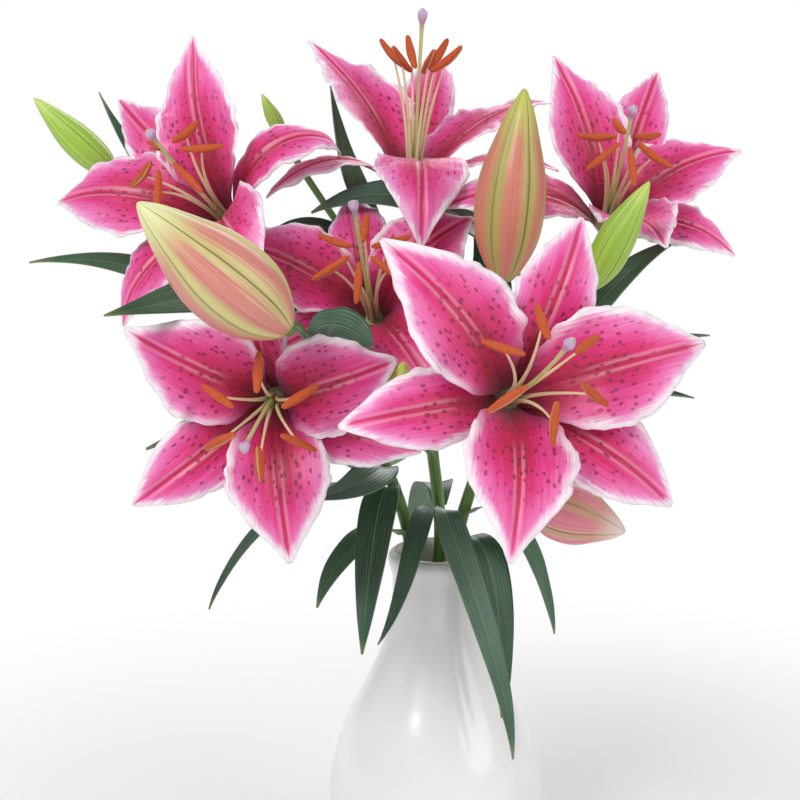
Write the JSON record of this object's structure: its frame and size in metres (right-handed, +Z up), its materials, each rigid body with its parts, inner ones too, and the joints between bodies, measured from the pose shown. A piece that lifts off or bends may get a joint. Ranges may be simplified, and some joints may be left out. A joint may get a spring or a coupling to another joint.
{
  "type": "lily bouquet in vase",
  "caption": "Cut lilies with open spotted flowers, closed buds and long leaves on three upright stems, standing in a white bottle-shaped vase.",
  "frame": {"origin": "centre of the vase's base, on the surface it stands on", "axes": "+Z up along the vase's axis, -Y towards the side that the flowers face, +X to the right as seen from that side"},
  "size_m": [0.3897, 0.336, 0.4964],
  "materials": {
    "glazed_white": "smooth white glazed ceramic",
    "stem_green": "waxy green stem",
    "petal": "crimson and pink petal with a white margin",
    "stamen": "cream filaments with orange-red anthers",
    "pistil": "yellow-green style with a lilac stigma",
    "pink_bud": "cream and pink closed bud",
    "green_bud": "lime green closed bud",
    "leaf": "dark green leaf with fine lengthwise veins"
  },
  "bodies": {
    "root": {"vase": "glazed_white", "stem_left": "stem_green", "stem_middle": "stem_green", "stem_right": "stem_green", "front_right_sepals": "petal", "front_right_petals": "petal", "front_right_stamens": "stamen", "front_right_pistil": "pistil", "front_left_sepals": "petal", "front_left_petals": "petal", "front_left_stamens": "stamen", "front_left_pistil": "pistil", "upper_left_sepals": "petal", "upper_left_petals": "petal", "upper_left_stamens": "stamen", "upper_left_pistil": "pistil", "middle_sepals": "petal", "middle_petals": "petal", "middle_stamens": "stamen", "middle_pistil": "pistil", "top_sepals": "petal", "top_petals": "petal", "top_stamens": "stamen", "top_pistil": "pistil", "upper_right_sepals": "petal", "upper_right_petals": "petal", "upper_right_stamens": "stamen", "upper_right_pistil": "pistil", "bud_front": "pink_bud", "bud_upright": "pink_bud", "bud_small": "pink_bud", "bud_lower": "pink_bud", "bud_green_left": "green_bud", "bud_green_right": "green_bud", "bud_green_top": "green_bud", "leaf_01": "leaf", "leaf_02": "leaf", "leaf_03": "leaf", "leaf_04": "leaf", "leaf_05": "leaf", "leaf_06": "leaf", "leaf_07": "leaf", "leaf_08": "leaf", "leaf_09": "leaf", "leaf_10": "leaf", "leaf_11": "leaf", "leaf_12": "leaf", "leaf_13": "leaf", "leaf_14": "leaf", "leaf_15": "leaf", "leaf_16": "leaf", "leaf_17": "leaf", "leaf_18": "leaf", "leaf_19": "leaf", "leaf_20": "leaf", "leaf_21": "leaf", "leaf_22": "leaf", "leaf_23": "leaf", "leaf_24": "leaf"}
  },
  "joints": []
}
